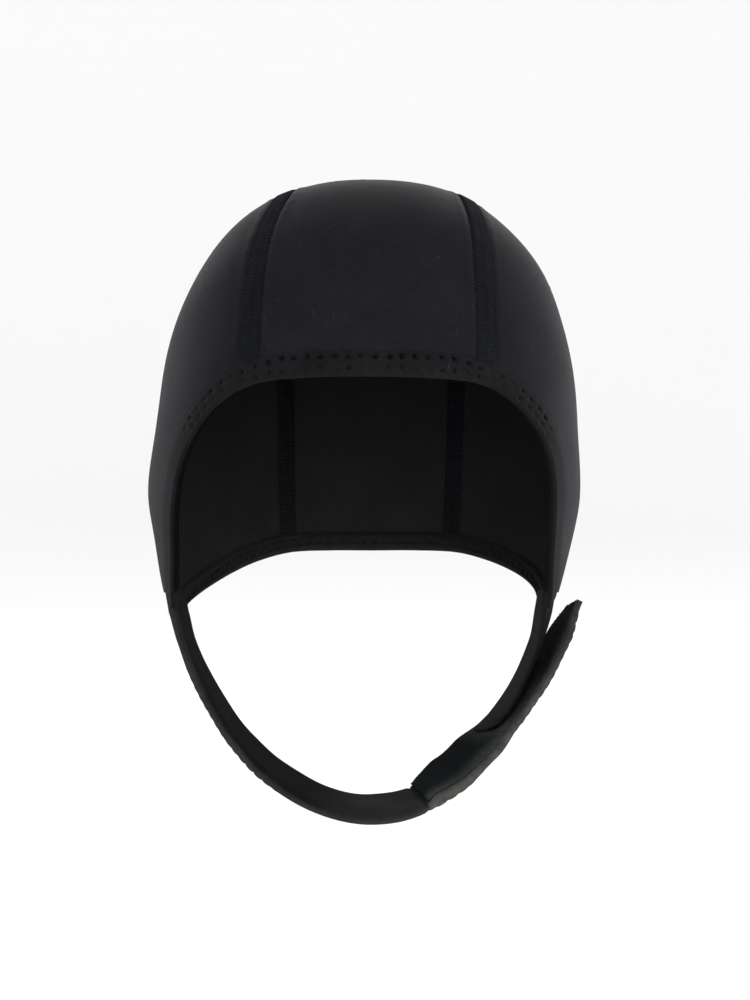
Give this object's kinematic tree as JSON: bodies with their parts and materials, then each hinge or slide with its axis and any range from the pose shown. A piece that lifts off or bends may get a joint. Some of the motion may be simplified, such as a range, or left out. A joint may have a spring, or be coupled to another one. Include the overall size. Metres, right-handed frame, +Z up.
{
  "type": "snorkeling hood",
  "caption": "Close-fitting neoprene swim and snorkeling hood with an open face, flat seams, turned hems and a chin strap closed by hook-and-loop tape.",
  "frame": {"origin": "the inside of the crown at the top of the head, where the hood sits on the head that holds it up", "axes": "+Z up along the wearer's head, -Y out of the face opening, +X to the wearer's left, which is the right side as seen from the front"},
  "size_m": [0.1648, 0.1917, 0.2397],
  "materials": {
    "neoprene": "matte black knitted face on foam rubber",
    "hem": "matte black folded knit with cover stitching",
    "seam_thread": "dense blue-black flat seam threads",
    "strap_binding": "matte black knit with a paler cut edge",
    "closure_tape": "very dark green-black hook and loop pile"
  },
  "bodies": {
    "root": {"centre_panel": "neoprene", "side_panel_left": "neoprene", "side_panel_right": "neoprene", "flat_seam_left": "seam_thread", "flat_seam_right": "seam_thread", "face_hem": "hem", "nape_hem": "hem", "chin_strap": "neoprene", "strap_end": "strap_binding", "hook_tape": "closure_tape", "loop_tab": "strap_binding", "loop_tape": "closure_tape"}
  },
  "joints": []
}
